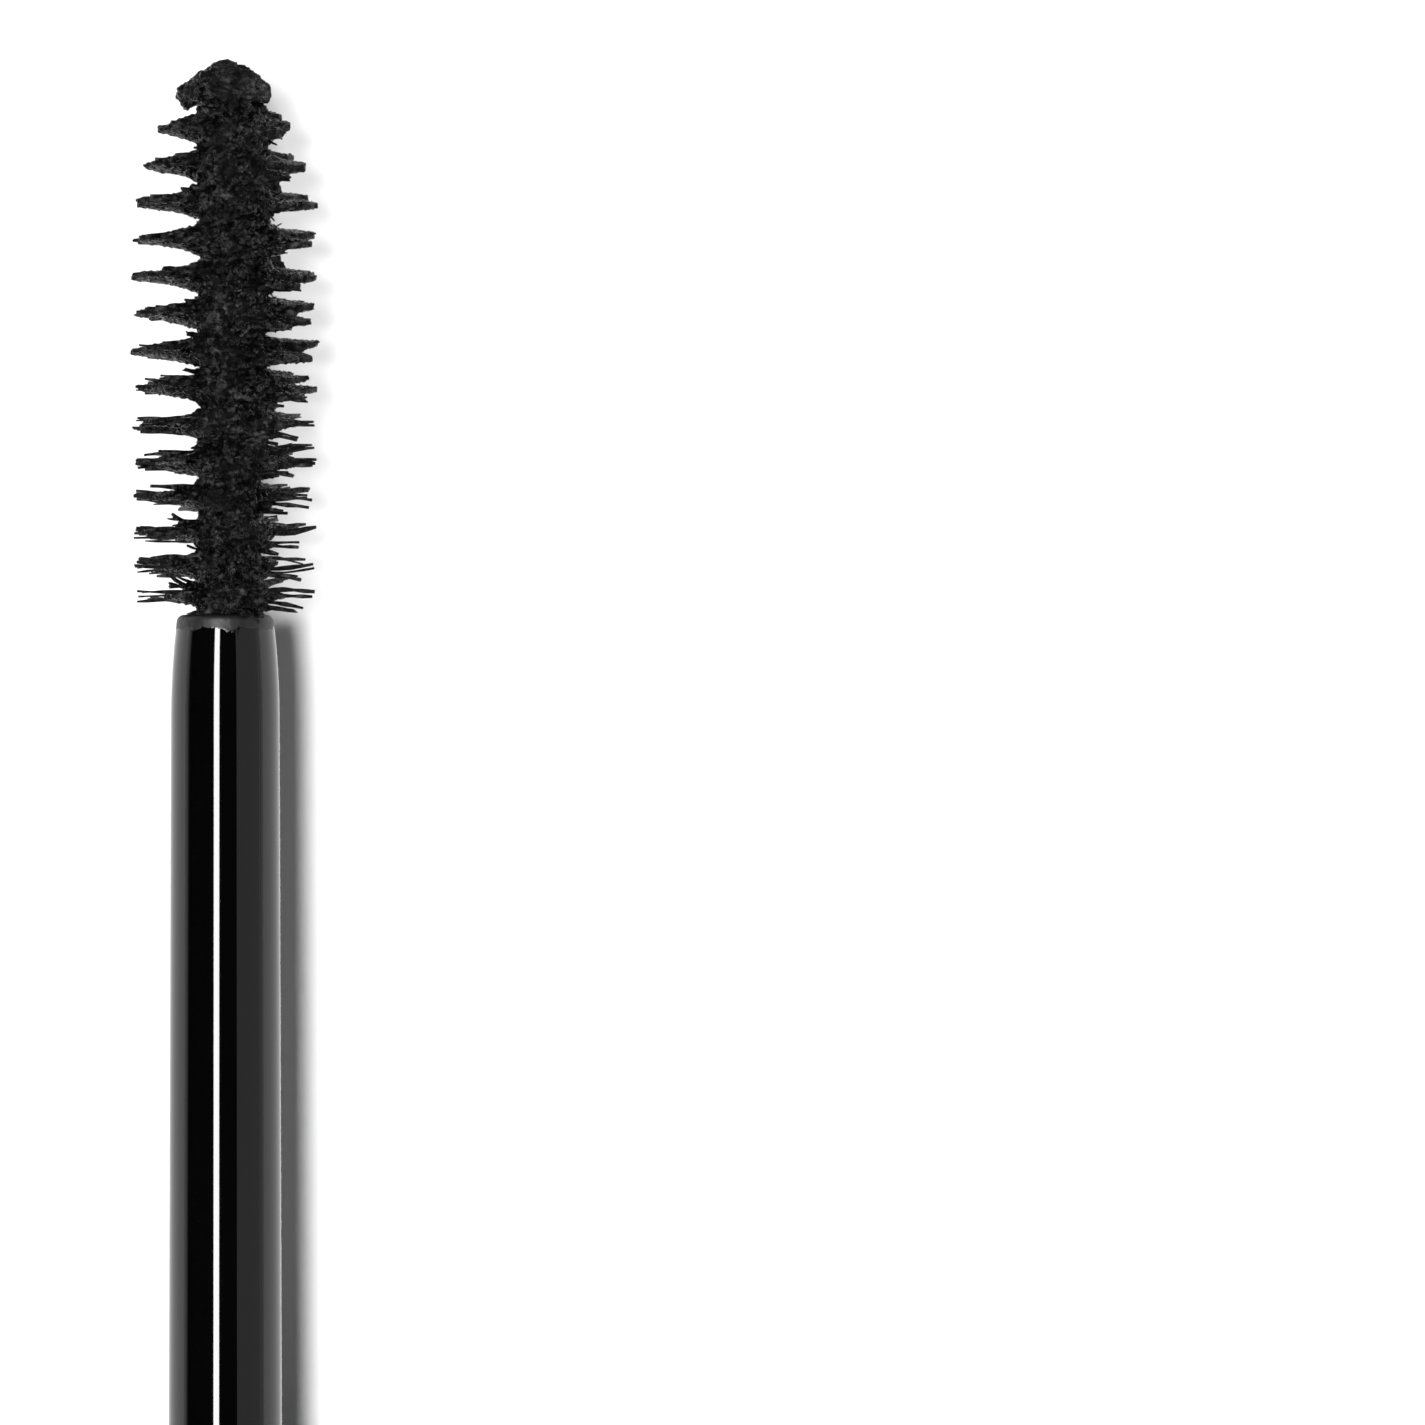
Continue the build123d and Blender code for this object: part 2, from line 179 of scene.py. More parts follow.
def make_sky():
    world = bpy.data.worlds.new("studio")
    bpy.context.scene.world = world
    world.use_nodes = True
    tree = world.node_tree
    tree.nodes.clear()
    out = tree.nodes.new("ShaderNodeOutputWorld")
    background = tree.nodes.new("ShaderNodeBackground")
    ramp = tree.nodes.new("ShaderNodeValToRGB")
    split = tree.nodes.new("ShaderNodeSeparateXYZ")
    where = tree.nodes.new("ShaderNodeTexCoord")
    for element, (height, brightness) in zip(ramp.color_ramp.elements, SKY):
        element.position = height
        element.color = (brightness, brightness, brightness, 1)
    tree.links.new(where.outputs["Generated"], split.inputs[0])
    tree.links.new(split.outputs["Z"], ramp.inputs["Fac"])
    tree.links.new(ramp.outputs["Color"], background.inputs["Color"])
    tree.links.new(background.outputs[0], out.inputs[0])


def make_floor():
    bpy.ops.mesh.primitive_plane_add(size=FLOOR_SIZE, location=(0, 0, -FLOOR_DROP))
    floor = bpy.context.object
    floor.name = "floor"
    material = bpy.data.materials.new("floor")
    material.use_nodes = True
    shader = material.node_tree.nodes["Principled BSDF"]
    shader.inputs["Base Color"].default_value = (FLOOR_GREY, FLOOR_GREY, FLOOR_GREY, 1)
    shader.inputs["Roughness"].default_value = 0.9
    shader.inputs["Specular IOR Level"].default_value = 0.0
    floor.data.materials.append(material)


# ------------------------------------------------------------------ materials

SMEAR_COLOUR = (0.002, 0.002, 0.002, 1)
SMEAR_ROUGHNESS = 0.5
SMEAR_RELIEF = 0.03 * MM
SMEAR_EDGE = (0.72, 0.8)  # of its place and a noise added together: a narrow range gives crisp edges
SOLID_IOR = 1.5
PASTE_DARK = (0.0005, 0.0005, 0.0005)
# the light end of the paste's colour is painted glints: lighter specks that stand in for highlights
PASTE_PAINTED_GLINT = (0.06, 0.06, 0.06)
PASTE_IOR = 1.24  # low, so that its many small facets don't glare
PASTE_RELIEF = 0.3 * MM


def new_material(name):
    material = bpy.data.materials.new(name)
    material.use_nodes = True
    return material, material.node_tree, material.node_tree.nodes["Principled BSDF"]


def noise(tree, scale, detail=3.0, stretch=(1, 1, 1), roughness=0.5):
    """A noise in the piece's own metres, stretched by shares along X, Y and Z: about 0.3 to 0.7."""
    where = tree.nodes.new("ShaderNodeTexCoord")
    mapping = tree.nodes.new("ShaderNodeMapping")
    mapping.inputs["Scale"].default_value = stretch
    texture = tree.nodes.new("ShaderNodeTexNoise")
    texture.inputs["Scale"].default_value = scale
    texture.inputs["Detail"].default_value = detail
    texture.inputs["Roughness"].default_value = roughness
    tree.links.new(where.outputs["Object"], mapping.inputs["Vector"])
    tree.links.new(mapping.outputs[0], texture.inputs["Vector"])
    return texture.outputs["Fac"]


def spread(tree, value, low, high, start=0.35, end=0.65):
    """Takes a value from between start and end to between low and high."""
    node = tree.nodes.new("ShaderNodeMapRange")
    node.inputs["From Min"].default_value = start
    node.inputs["From Max"].default_value = end
    node.inputs["To Min"].default_value = low
    node.inputs["To Max"].default_value = high
    tree.links.new(value, node.inputs["Value"])
    return node.outputs["Result"]


def product_of(tree, first, second):
    """One value times another."""
    node = tree.nodes.new("ShaderNodeMath")
    node.operation = "MULTIPLY"
    tree.links.new(first, node.inputs[0])
    tree.links.new(second, node.inputs[1])
    return node.outputs[0]


def blend(tree, share, first, second):
    """Colour between two colours."""
    node = tree.nodes.new("ShaderNodeMix")
    node.data_type = "RGBA"
    node.inputs[6].default_value = (*first, 1)
    node.inputs[7].default_value = (*second, 1)
    tree.links.new(share, node.inputs[0])
    return node.outputs[2]


def add_relief(tree, shader, height, distance):
    """A fine relief on top of any that the shader has."""
    bump = tree.nodes.new("ShaderNodeBump")
    bump.inputs["Distance"].default_value = distance
    tree.links.new(height, bump.inputs["Height"])
    if shader.inputs["Normal"].links:
        tree.links.new(shader.inputs["Normal"].links[0].from_socket, bump.inputs["Normal"])
    tree.links.new(bump.outputs["Normal"], shader.inputs["Normal"])


def surface(name, colours, roughness, scale, relief, relief_scale, stretch=(1, 1, 1), metal=0.0):
    """Colour and roughness wander between two values each in soft patches, over a fine relief."""
    material, tree, shader = new_material(name)
    patches = spread(tree, noise(tree, scale, 5.0, stretch), 0.0, 1.0)
    tree.links.new(blend(tree, patches, *colours), shader.inputs["Base Color"])
    sheen = spread(tree, noise(tree, scale * 1.7, 6.0, stretch), *roughness)
    tree.links.new(sheen, shader.inputs["Roughness"])
    shader.inputs["Metallic"].default_value = metal
    shader.inputs["IOR"].default_value = SOLID_IOR
    add_relief(tree, shader, noise(tree, relief_scale, 2.0, stretch), relief)
    return material


def scratch(material, scale, depth, stretch):
    """Thin handling scratches, long where stretch is small."""
    tree = material.node_tree
    shader = tree.nodes["Principled BSDF"]
    lines = spread(tree, noise(tree, scale, 1.0, stretch), 0.0, 1.0, 0.66, 0.7)
    add_relief(tree, shader, lines, -depth)


def mixed_input(tree, shader, socket, share, value, kind):
    """Takes a shader's input to value as share goes from 0 to 1."""
    node = tree.nodes.new("ShaderNodeMix")
    node.data_type = kind
    first, second, out = (6, 7, 2) if kind == "RGBA" else (2, 3, 0)
    source = shader.inputs[socket]
    if source.links:
        tree.links.new(source.links[0].from_socket, node.inputs[first])
    else:
        node.inputs[first].default_value = source.default_value
    node.inputs[second].default_value = value
    tree.links.new(share, node.inputs[0])
    tree.links.new(node.outputs[out], source)


def smear(material, along, none_at, full_at, scale=1500.0):
    """Dried mascara over a material, patchy between two places.

    They lie along the tube ("x") or out from its axis ("radius").
    """
    tree = material.node_tree
    shader = tree.nodes["Principled BSDF"]
    where = tree.nodes.new("ShaderNodeTexCoord")
    split = tree.nodes.new("ShaderNodeSeparateXYZ")
    tree.links.new(where.outputs["Object"], split.inputs[0])
    place_along = split.outputs["X"]
    if along == "radius":
        flat = tree.nodes.new("ShaderNodeVectorMath")
        flat.operation = "MULTIPLY_ADD"
        flat.inputs[1].default_value = (0, 1, 1)
        flat.inputs[2].default_value = (0, 0, -AXIS_Z)
        length = tree.nodes.new("ShaderNodeVectorMath")
        length.operation = "LENGTH"
        tree.links.new(where.outputs["Object"], flat.inputs[0])
        tree.links.new(flat.outputs["Vector"], length.inputs[0])
        place_along = length.outputs["Value"]
    total = tree.nodes.new("ShaderNodeMath")
    total.operation = "ADD"
    tree.links.new(spread(tree, place_along, -0.25, 0.75, none_at, full_at), total.inputs[0])
    tree.links.new(noise(tree, scale, 5.0), total.inputs[1])
    share = spread(tree, total.outputs[0], 0.0, 1.0, *SMEAR_EDGE)
    mixed_input(tree, shader, "Base Color", share, SMEAR_COLOUR, "RGBA")
    mixed_input(tree, shader, "Roughness", share, SMEAR_ROUGHNESS, "FLOAT")
    mixed_input(tree, shader, "Metallic", share, 0.0, "FLOAT")
    add_relief(tree, shader, product_of(tree, share, noise(tree, scale * 2.5, 3.0)), SMEAR_RELIEF)


def mascara_paste():
    """Nearly black and uneven: painted glints as lighter specks, gathered in patches, over a wet and dry
    mottle.
    """
    material, tree, shader = new_material("mascara_paste")
    # painted glints: lighter specks in the base colour in place of highlights, gathered in patches
    painted_glints = spread(tree, noise(tree, 4200.0, 2.0, stretch=(1, 0.6, 1)), 0.0, 1.0, 0.44, 0.72)
    patches = spread(tree, noise(tree, 1100.0, 2.0), 0.12, 1.0, 0.42, 0.62)
    colour = blend(tree, product_of(tree, painted_glints, patches), PASTE_DARK, PASTE_PAINTED_GLINT)
    tree.links.new(colour, shader.inputs["Base Color"])
    tree.links.new(spread(tree, noise(tree, 2600.0), 0.06, 0.26), shader.inputs["Roughness"])
    shader.inputs["IOR"].default_value = PASTE_IOR
    add_relief(tree, shader, noise(tree, 4600.0, 2.0, roughness=0.65), PASTE_RELIEF)
    return material


def gloss_black(name):
    colours = (0.0012, 0.0012, 0.0013), (0.0028, 0.0028, 0.003)
    material = surface(name, colours, (0.04, 0.11), 95.0, 4e-6, 900.0)
    scratch(material, 900.0, 3e-6, (0.06, 1, 1))
    return material


def rod_black():
    colours = (0.0009, 0.0009, 0.001), (0.0012, 0.0012, 0.0013)
    material = surface("rod_black", colours, (0.034, 0.046), 140.0, 4e-7, 500.0)
    smear(material, "x", ROD_TIP - 1.1 * MM, ROD_TIP - 0.2 * MM)
    return material


def satin_black_vial():
    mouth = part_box("vial")[0].x
    colours = (0.004, 0.004, 0.0042), (0.009, 0.009, 0.0092)
    material = surface("satin_black_vial", colours, (0.28, 0.42), 300.0, 1e-5, 5000.0)
    smear(material, "x", mouth + 1.6 * MM, mouth - 0.4 * MM)
    return material


def satin_black_inner():
    colours = (0.004, 0.004, 0.0042), (0.008, 0.008, 0.0082)
    return surface("satin_black_inner", colours, (0.25, 0.4), 300.0, 1e-5, 5000.0)


def collar_metal():
    """Turned metal: its patches and scratches run round the axis."""
    colours = (0.60, 0.60, 0.62), (0.74, 0.74, 0.75)
    material = surface("collar_metal", colours, (0.2, 0.36), 900.0, 3e-6, 7000.0, (1, 0.03, 0.03), metal=1.0)
    scratch(material, 2600.0, 2e-6, (1, 0.2, 0.2))
    return material


def wiper_polymer():
    colours = (0.30, 0.30, 0.29), (0.42, 0.42, 0.40)
    material = surface("wiper_polymer", colours, (0.38, 0.55), 500.0, 1.5e-5, 4000.0)
    smear(material, "radius", 4.2 * MM, 2.4 * MM, 1300.0)
    return material


def liner_foam():
    colours = (0.62, 0.62, 0.60), (0.80, 0.80, 0.78)
    material = surface("liner_foam", colours, (0.6, 0.85), 700.0, 6e-5, 5200.0)
    smear(material, "radius", 5.2 * MM, 2.6 * MM, 1100.0)
    return material


def brush_steel():
    colours = (0.42, 0.42, 0.43), (0.58, 0.58, 0.59)
    material = surface("brush_steel", colours, (0.22, 0.4), 1500.0, 1e-5, 6000.0, metal=1.0)
    smear(material, "x", ROD_TIP - 4 * MM, ROD_TIP + 2 * MM)
    return material


def label_paper():
    colours = (0.72, 0.72, 0.70), (0.80, 0.80, 0.78)
    return surface("label_paper", colours, (0.5, 0.66), 400.0, 1.2e-5, 9000.0)


def make_finishes(paste):
    """One material for each node of the CAD that keeps its own mesh, and for the rod."""
    return {
        "cap_shell": gloss_black("gloss_black_cap"),
        "outer_sleeve": gloss_black("gloss_black_bottle"),
        "base_plug": gloss_black("gloss_black_base"),
        "rod": rod_black(),
        "vial": satin_black_vial(),
        "inner_cap": satin_black_inner(),
        "shoulder_collar": collar_metal(),
        "wiper": wiper_polymer(),
        "cap_liner": liner_foam(),
        "brush_wire": brush_steel(),
        "shade_label": label_paper(),
        "mascara_fill": paste,
    }


# ------------------------------------------------------------------ the loaded brush

FIRST_ROW = (ROW_PLACES[0] - ROD_TIP) / MM  # stations of the brush are millimetres from the end of the rod
PITCH = ROW_PITCH / MM
TIP = (BRUSH_TIP - ROD_TIP) / MM
FULL_R = BRUSH_R / MM
TAPER = 8.0  # length over which the trimmed brush rounds off to its tip
TAPER_POWER = 0.7
UNEVEN_TWIST = 0.48  # how far the rows stray from even places
BRISTLES = (0.35, TIP - 2.3)  # first and last station
STUBS = (0.3, TIP - 2.2)
CORE_LUMPS_BETWEEN = (0.2, TIP - 2.2)
PASTE_END = TIP - 1.9
WEB_START = 0.25
STUB_COUNT = 1500
ROOT_R = 0.3  # where a bristle starts, inside the core
CLUMP_R = 0.074  # of a bristle with its coat, and of its neighbours that cling to it
LOOSE_CLUMP_R = 0.03  # what is added to it where little mascara holds the rows together
WEB_STEP = 0.03
WEB_COLUMNS = 22
WEB_THINNEST = 0.078  # half of its thickness, so that the remesh keeps it whole
LOAD_RISES = (3.0, 14.0)  # stations between which the mascara thickens towards the tip
HEAVY_SIDE = -0.8  # radians from +Y towards +Z: the side where most mascara has stayed
CORE_LEFT, CORE_FRONT, CORE_RIGHT, CORE_BACK = 0.8, 1.7, 1.7, 1.4  # radii on the +Y, +Z, -Y and -Z sides
CORE_RIGHT_BY_ROD = 1.3
CORE_WIDENS = (5.0, 11.0)  # stations between which it grows from CORE_RIGHT_BY_ROD to CORE_RIGHT
ROD_COLLAR_R = 1.9  # of the paste that has gathered against the rod's end
CORE_SWELL = 0.6  # how much further out the paste comes beside the rows than between them
CORE_LUMPS = 3600
CORE_LUMP_R = (0.10, 0.22)
CLOT_LUMPS = 170
CLOT_LUMP_R = (0.12, 0.34)
CLOT = (
    (22.2, 0.95), (22.95, 1.0), (23.15, 1.25), (23.1, 1.6), (23.15, 1.9), (23.4, 2.02), (23.65, 1.92),
    (23.85, 1.7), (24.05, 1.5), (24.3, 1.3), (24.45, 0.95), (24.52, 0.6), (24.7, 0.35), (24.8, 0.12),
)  # stations and radii of the clot on the tip: a blunt arrowhead with a drooping brim
CLOT_STEM = 3  # how many of its first points get no lumps
VOXEL = 0.055  # of the remesh that makes one skin of all the paste
LOAD_TRIANGLES = 185000
ROD_BORE_R = 1.2  # the rod's vertices nearer the axis than this belong to the wire's bore
ROD_TURNS = 192
SHARP = math.radians(30)  # edges of the rod that bend more than this stay sharp


def smooth(x, low, high):
    t = np.clip((x - low) / (high - low), 0, 1)
    return t * t * (3 - 2 * t)


def blade_turn(station):
    """Direction of the bristles' twisted fan at a station, in radians from +Y towards +Z."""
    share = np.clip((station - FIRST_ROW) / (ROW_PITCH * (len(ROWS) - 1) / MM), 0, 1)
    uneven = UNEVEN_TWIST * np.sin(math.pi * share**0.45)
    return math.pi * (station + uneven - FIRST_ROW) / PITCH


def reach(station):
    """Radius of the trimmed brush at a station."""
    short = np.clip(1 - (TIP - station) / TAPER, 0, 1)
    return FULL_R * (1 - short**2) ** TAPER_POWER


def load(station, azimuth):
    """How much mascara holds the bristles together, from 0 to 1: most near the tip and on the heavy side."""
    along = smooth(station, *LOAD_RISES)
    return np.clip(0.32 + 0.58 * along + 0.08 * np.cos(azimuth - HEAVY_SIDE), 0.05, 1)


def narrowed(azimuth):
    """The paste holds the bristles in leaves: it goes as far out as they do only beside the row's middle."""
    return 1 - (0.44 + 0.42 * np.cos(azimuth)) * np.sin(azimuth) ** 2


def core_radius(station, azimuth):
    """How far mascara fills the gaps between the rows of bristles, by direction."""
    cosine, sine = np.cos(azimuth), np.sin(azimuth)
    right = CORE_RIGHT_BY_ROD + (CORE_RIGHT - CORE_RIGHT_BY_ROD) * smooth(station, *CORE_WIDENS)
    shares = [np.clip(v, 0, 1) ** 1.5 for v in (cosine, sine, -cosine, -sine)]
    sizes = [CORE_LEFT, CORE_FRONT, right, CORE_BACK]
    swell = CORE_SWELL * (np.cos(azimuth - blade_turn(station)) * cosine) ** 2
    return sum(a * b for a, b in zip(shares, sizes)) / sum(shares) + swell


def wave(seed, x, y):
    """Smooth noise of two variables, about -1 to 1."""
    draw = np.random.RandomState(seed)
    total = 0
    for octave in range(6):
        a, b = draw.normal(0, 1, 2) * (1 + 0.55 * octave)
        total = total + np.sin(a * x + b * y + draw.uniform(0, 2 * math.pi)) / (1 + 0.3 * octave)
    return total / 2.2


def place(station, azimuth, radius):
    """Points in the brush's own frame."""
    return np.stack([station, radius * np.cos(azimuth), radius * np.sin(azimuth)], axis=-1)


def draw_bundles():
    """The tufts that mascara sticks together, in order along both edges of the twisted fan of bristles."""
    draw = random.Random(11)
    bundles = []
    for side in (0, 1):
        station = BRISTLES[0]
        while station < BRISTLES[1]:
            azimuth = float(blade_turn(station)) + side * math.pi
            wet = float(load(station, azimuth))
            loose = abs(math.sin(azimuth)) ** 3
            right, left = max(-math.cos(azimuth), 0), max(math.cos(azimuth), 0) * wet
            fan = 0.62 * right * math.atan2(-math.sin(azimuth), -math.cos(azimuth))
            fan -= 0.38 * left * math.atan2(math.sin(azimuth), math.cos(azimuth))
            tied = wet * (0.9 if math.sin(azimuth) < 0 else 0.45)
            drawn_in = 1 - tied * (1 - float(narrowed(azimuth)))
            scatter = 0.06 + 0.09 * (1 - wet) + 0.22 * loose + 0.05 * right - 0.03 * left
            bundles.append(
                {
                    "station": station,
                    "azimuth": azimuth,
                    "wet": wet,
                    "length": float(reach(station)) * draw.uniform(0.955, 1.02) * drawn_in,
                    "lean": fan + draw.gauss(0, scatter),
                    "swing": draw.gauss(0, 0.05),
                    "hairs": draw.choice((2, 3, 4)),
                }
            )
            station += draw.uniform(0.10, 0.24) * (1 - 0.58 * left + 0.4 * right)
    return bundles


def hair_paths(bundles):
    """Centre lines and radii of the bristles, a few in each bundle and gathered towards its tip."""
    draw = np.random.RandomState(5)
    steps = np.linspace(0, 1, 9)
    paths, radii = [], []
    for bundle in bundles:
        wet = bundle["wet"]
        for _ in range(bundle["hairs"]):
            root = bundle["station"] + draw.uniform(-0.10, 0.10)
            root_azimuth = bundle["azimuth"] + math.pi * (root - bundle["station"]) / PITCH
            scatter = 0.04 + 0.16 * (1 - wet) ** 1.5
            tip = bundle["station"] + bundle["lean"] + draw.normal(0, scatter)
            tip_azimuth = bundle["azimuth"] + bundle["swing"] + draw.normal(0, scatter / 3.2)
            length = bundle["length"] * (1 - abs(draw.normal(0, 0.018 + 0.02 * (1 - wet))))
            bend = draw.normal(0, 0.05 + 0.2 * (1 - wet))
            if draw.uniform() < 0.035 * (1 - wet):
                length *= draw.uniform(0.45, 0.8)
                bend *= 3
            gather = steps ** 1.3
            ripple = np.sin(draw.uniform(0, 6.3) + steps * draw.uniform(5, 11))
            waves = np.sin(math.pi * steps) + 0.3 * ripple * steps
            station = root + (tip - root) * gather + bend * waves * 0.5
            azimuth = root_azimuth + (tip_azimuth - root_azimuth) * gather
            radius = ROOT_R + (length - ROOT_R) * steps
            paths.append(place(station, azimuth, radius))
            coat = draw.uniform(0.7, 1.35) * (CLUMP_R + LOOSE_CLUMP_R * (1 - wet))
            beads = 1 + 0.28 * np.sin(draw.uniform(0, 6.3) + steps * draw.uniform(9, 22))
            radii.append(coat * beads * (1 - 0.32 * steps**4))
    return np.array(paths), np.array(radii)


def stub_paths(count):
    """Centre lines and radii of short ends of bristles and flecks of paste that stand out of the core."""
    draw = np.random.RandomState(17)
    station = draw.uniform(*STUBS, count)
    azimuth = draw.uniform(0, 2 * math.pi, count)
    inside = core_radius(station, azimuth) - 0.2
    length = draw.uniform(0.25, 0.7, count) * (1 - 0.6 * np.clip(np.cos(azimuth), 0, 1))
    steps = np.linspace(0, 1, 4)
    lean = draw.normal(0, 0.28, count)
    swing = 0.3 * lean + draw.normal(0, 0.1, count)
    radius = inside[:, None] + length[:, None] * steps
    limit = reach(station)[:, None] * 0.98
    radius = np.minimum(radius, limit)
    paths = place(station[:, None] + lean[:, None] * steps, azimuth[:, None] + swing[:, None] * steps, radius)
    radii = draw.uniform(0.05, 0.09, count)[:, None] * (1 - 0.55 * steps**2)
    return paths, radii


def tubes(paths, radii, sides=6):
    """Vertices and faces of closed round tubes along the paths, one for each row of paths."""
    count, steps = radii.shape
    along = np.gradient(paths, axis=1)
    along /= np.linalg.norm(along, axis=2, keepdims=True)
    across = np.cross(along, np.array([1.0, 0, 0]))
    across /= np.linalg.norm(across, axis=2, keepdims=True)
    up = np.cross(across, along)
    corners = np.linspace(0, 2 * math.pi, sides, endpoint=False)
    ring = np.cos(corners)[:, None] * across[:, :, None, :] + np.sin(corners)[:, None] * up[:, :, None, :]
    vertices = (paths[:, :, None, :] + ring * radii[:, :, None, None]).reshape(-1, 3)
    faces = []
    for tube in range(count):
        first = tube * steps * sides
        for step in range(steps - 1):
            for side in range(sides):
                a, b = first + step * sides + side, first + step * sides + (side + 1) % sides
                faces.append((a, b, b + sides, a + sides))
        last = first + (steps - 1) * sides
        faces.append(tuple(first + side for side in reversed(range(sides))))
        faces.append(tuple(last + side for side in range(sides)))
    return vertices, faces


def ribbon_faces(rows, columns):
    """Faces of a closed ribbon whose vertices are an upper sheet of rows by columns, then the lower one."""
    below = rows * columns
    faces = []
    for i in range(rows - 1):
        for j in range(columns - 1):
            a, d = i * columns + j, (i + 1) * columns + j
            faces.append((a, a + 1, d + 1, d))
            faces.append((below + d, below + d + 1, below + a + 1, below + a))
        a, b = i * columns, (i + 1) * columns
        faces.append((a, b, below + b, below + a))
        a, b = a + columns - 1, b + columns - 1
        faces.append((b, a, below + a, below + b))
    for j in range(columns - 1):
        a, b = j, j + 1
        faces.append((b, a, below + a, below + b))
        a, b = a + (rows - 1) * columns, b + (rows - 1) * columns
        faces.append((a, b, below + b, below + a))
    return faces


def web(bundles, side):
    """The sheet of mascara between the bristles of one edge of the fan: a closed ribbon, ragged outside."""
    facing = 1 - 2 * side
    own = [b for b in bundles if abs(math.cos(b["azimuth"] - blade_turn(b["station"])) - facing) < 0.1]
    stations = np.arange(WEB_START, PASTE_END, WEB_STEP)
    azimuth = blade_turn(stations) + side * math.pi
    centres = np.array([b["station"] for b in own])
    nearest = np.abs(stations[:, None] - centres[None, :]).argmin(1)
    right = np.clip(-np.cos(azimuth), 0, 1)
    gap = np.abs(stations - centres[nearest]) / (0.085 + 0.035 * right)
    ridge = np.exp(-(gap**2))
    wet = load(stations, azimuth)
    lengths = np.array([b["length"] for b in own])[nearest]
    leans = np.array([b["lean"] for b in own])[nearest]
    notch = 0.07 + 0.30 * (1 - wet) + 0.22 * right + 0.05 * wave(3 + side, stations * 2.1, 0 * stations)
    share = np.clip(0.42 + 0.66 * wet + 0.10 * wave(7 + side, stations * 1.3, 0 * stations), 0.3, 1.0)
    share = np.minimum(share + 0.12 * right * wet, 1.0) * narrowed(azimuth)
    rim = lengths * share * (1 - notch * (1 - ridge))
    rim = np.maximum(rim, 1.0)
    steps = np.linspace(0, 1, WEB_COLUMNS)
    radius = steps[None, :] * rim[:, None]
    wide = right[:, None] * wet[:, None]
    narrow = np.clip(np.cos(azimuth), 0, 1)[:, None] * wet[:, None]
    fillet = np.exp(-np.clip(radius - 0.9, 0, None) / (0.45 + 0.75 * wide + 0.4 * narrow))
    fillet *= 0.38 + 0.42 * wide + 0.2 * narrow
    body = (0.09 + 0.03 * wet[:, None]) * (1 - 0.3 * steps[None, :] ** 2)
    thick = fillet + body + 0.05 * ridge[:, None] * (1 - steps[None, :] ** 4)
    thick *= 1 + 0.16 * wave(13, radius * 5.1, stations[:, None] * 4.7)
    thick = np.maximum(thick, WEB_THINNEST)
    shift = leans[:, None] * (steps[None, :] ** 1.6) * 0.9
    grid = stations[:, None] + shift
    turn = azimuth[:, None] + 0 * radius
    upper = place(grid + thick, turn, radius)
    lower = place(grid - thick, turn, radius)
    vertices = np.concatenate([upper.reshape(-1, 3), lower.reshape(-1, 3)])
    return vertices, ribbon_faces(*radius.shape)


def turned_faces(rows, turns):
    """Faces of a closed solid whose vertices are rings round the axis."""
    faces = [tuple(range(turns)), tuple((rows - 1) * turns + k for k in reversed(range(turns)))]
    for i in range(rows - 1):
        for k in range(turns):
            a, b = i * turns + k, i * turns + (k + 1) % turns
            faces.append((a, a + turns, b + turns, b))
    return faces


def lathe(outline, turns=72, lumps=0.0, seed=0):
    """A closed solid turned from (station, radius) points, with lumps as a share of its radius."""
    outline = np.array(outline)
    azimuth = np.linspace(0, 2 * math.pi, turns, endpoint=False)
    station = np.repeat(outline[:, :1], turns, axis=1)
    radius = np.repeat(outline[:, 1:], turns, axis=1)
    cosine, sine = np.cos(azimuth)[None, :] + 0 * radius, np.sin(azimuth)[None, :] + 0 * radius
    bumps = wave(seed, cosine * 2.2 + station * 1.1, sine * 2.2 + station * 0.9)
    bumps = bumps + 0.6 * wave(seed + 1, cosine * 4.6 - station * 2.3, sine * 4.6 + station * 2.9)
    radius = radius * (1 + lumps * bumps)
    station = station + lumps * 0.8 * wave(seed + 2, cosine * 3.0, sine * 3.0) * radius
    vertices = place(station, azimuth[None, :] + 0 * radius, radius).reshape(-1, 3)
    return vertices, turned_faces(len(outline), turns)


def joined(parts):
    """Several meshes' vertices and faces as one mesh's."""
    vertices, faces, first = [], [], 0
    for part_vertices, part_faces in parts:
        vertices.append(part_vertices)
        faces.extend(tuple(first + k for k in face) for face in part_faces)
        first += len(part_vertices)
    return np.concatenate(vertices), faces


def core(turns=96):
    """The paste that fills the middle of the brush, wider against the rod's end and beside the rows."""
    stations = np.arange(0.02, PASTE_END, 0.1)
    azimuth = np.linspace(0, 2 * math.pi, turns, endpoint=False)
    station = stations[:, None] + 0 * azimuth[None, :]
    angle = azimuth[None, :] + 0 * station
    radius = core_radius(station, angle)
    radius = radius + (ROD_COLLAR_R - radius) * np.exp(-((station / 0.16) ** 2))
    radius *= 1 - 0.35 * smooth(station, TIP - 2.9, TIP - 2.0)
    y, z = np.cos(angle), np.sin(angle)
    swells = 0.10 * wave(61, station * 2.9 + y * 2.0, z * 3.1)
    radius *= 1 + swells + 0.05 * wave(62, station * 6.1 - y * 5.0, z * 6.5 + y)
    return place(station, angle, radius).reshape(-1, 3), turned_faces(len(stations), turns)


